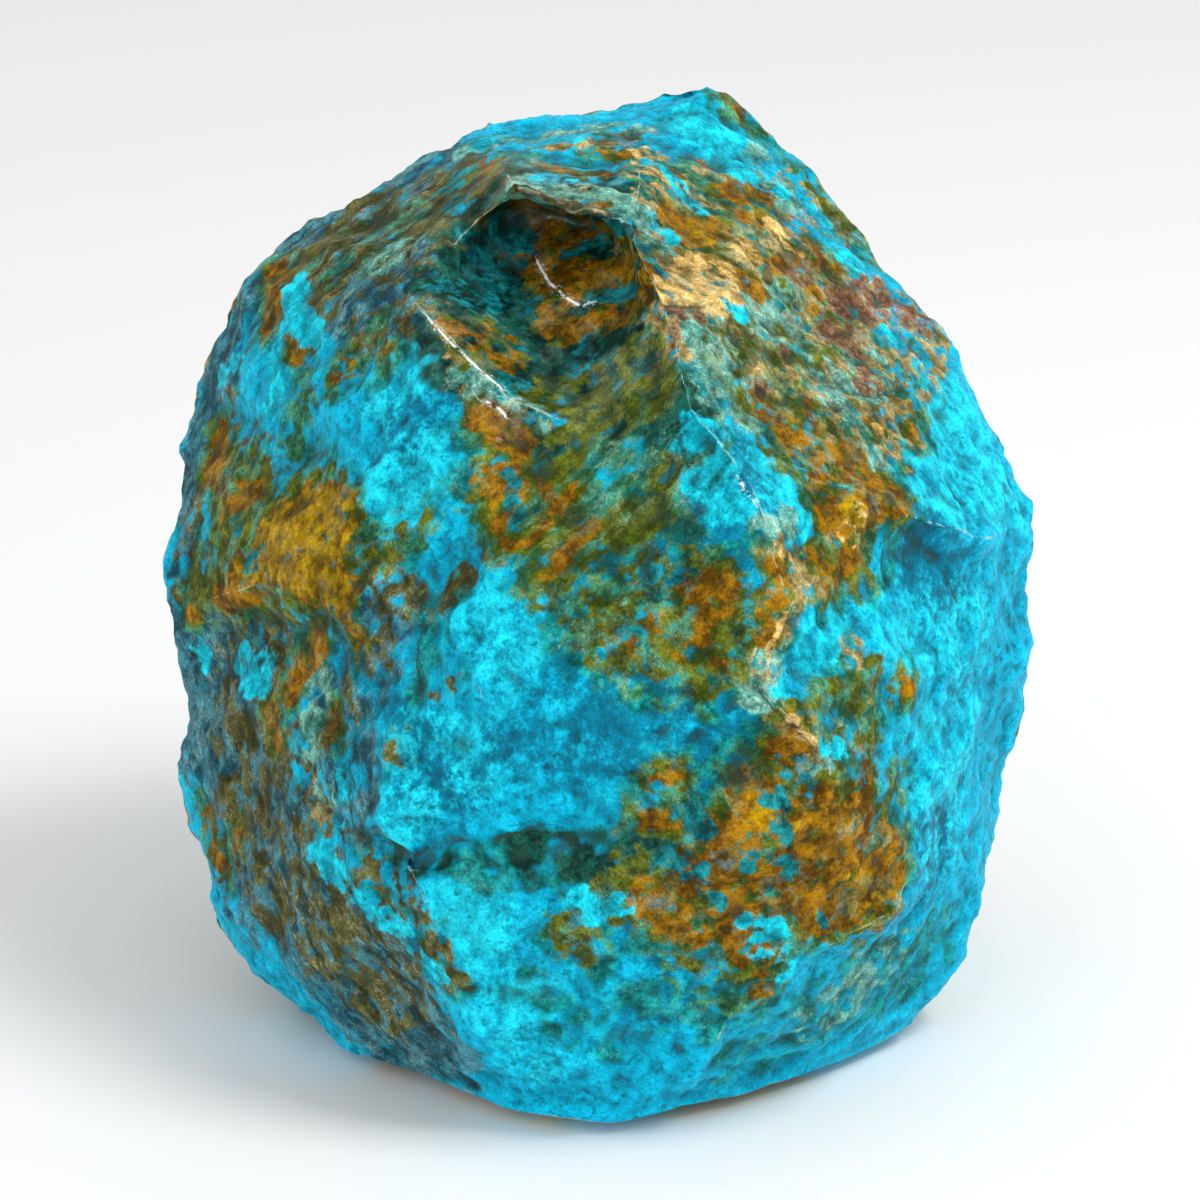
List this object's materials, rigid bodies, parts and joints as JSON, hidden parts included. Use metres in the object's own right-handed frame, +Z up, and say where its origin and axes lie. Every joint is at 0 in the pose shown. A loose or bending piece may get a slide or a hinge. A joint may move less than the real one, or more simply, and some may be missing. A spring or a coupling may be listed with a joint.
{
  "type": "chrysocolla specimen",
  "caption": "Rough blocky mineral specimen of blue-green chrysocolla with rust-brown and olive stains, a dark glossy hollow near the top and a flat underside to stand on.",
  "frame": {"origin": "middle of the object's footprint, on the surface it rests on", "axes": "+Z up, -Y out of the broken front face with the hollow, +X to the right as seen from the front"},
  "size_m": [0.0708, 0.0666, 0.07],
  "materials": {
    "chrysocolla": "rough broken stone, satin, glossy in the hollow"
  },
  "bodies": {
    "root": {"stone": "chrysocolla"}
  },
  "joints": []
}
